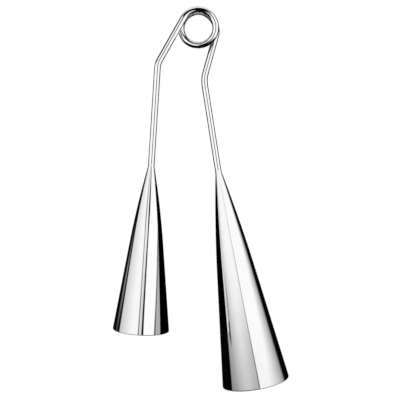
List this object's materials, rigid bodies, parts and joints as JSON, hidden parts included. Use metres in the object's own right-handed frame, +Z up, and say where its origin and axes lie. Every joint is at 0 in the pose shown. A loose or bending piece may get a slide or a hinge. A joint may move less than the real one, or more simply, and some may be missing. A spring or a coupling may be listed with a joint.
{
  "type": "double hand bell",
  "caption": "Double hand bell: two steel cone bells on the ends of one bent spring rod with a coil eye, squeezed together or struck with a stick.",
  "frame": {"origin": "centre of the coil eye at the top of the handle, on the axis that the two legs flex about", "axes": "+Z up, away from the bells; +X towards the large bell; +Y along the eye's axis, from the small bell's leg to the large bell's leg"},
  "size_m": [0.1723, 0.0699, 0.3732],
  "materials": {
    "plated_rod": "bright chrome plate on drawn spring rod, fine drawing lines",
    "plated_sheet": "bright chrome plate on polished steel sheet, duller inside the bells",
    "plated_weld": "chrome plate over a dressed weld bead"
  },
  "bodies": {
    "coil": {"handle_coil": "plated_rod"},
    "small_side": {"small_leg": "plated_rod", "small_bell": "plated_sheet", "small_apex_weld": "plated_weld", "small_seam_weld": "plated_weld"},
    "large_side": {"large_leg": "plated_rod", "large_bell": "plated_sheet", "large_apex_weld": "plated_weld", "large_seam_weld": "plated_weld"}
  },
  "joints": [
    {"name": "small_leg_flex", "type": "hinge", "parent": "coil", "child": "small_side", "pos_m": [0, 0, 0], "axis": [0, -1, 0], "range_deg": [-2, 4.6], "stiffness_Nm_per_rad": 200, "deforming": ["handle_coil"]},
    {"name": "large_leg_flex", "type": "hinge", "parent": "coil", "child": "large_side", "pos_m": [0, 0, 0], "axis": [0, 1, 0], "range_deg": [-2, 4.6], "stiffness_Nm_per_rad": 200, "deforming": ["handle_coil"]}
  ]
}
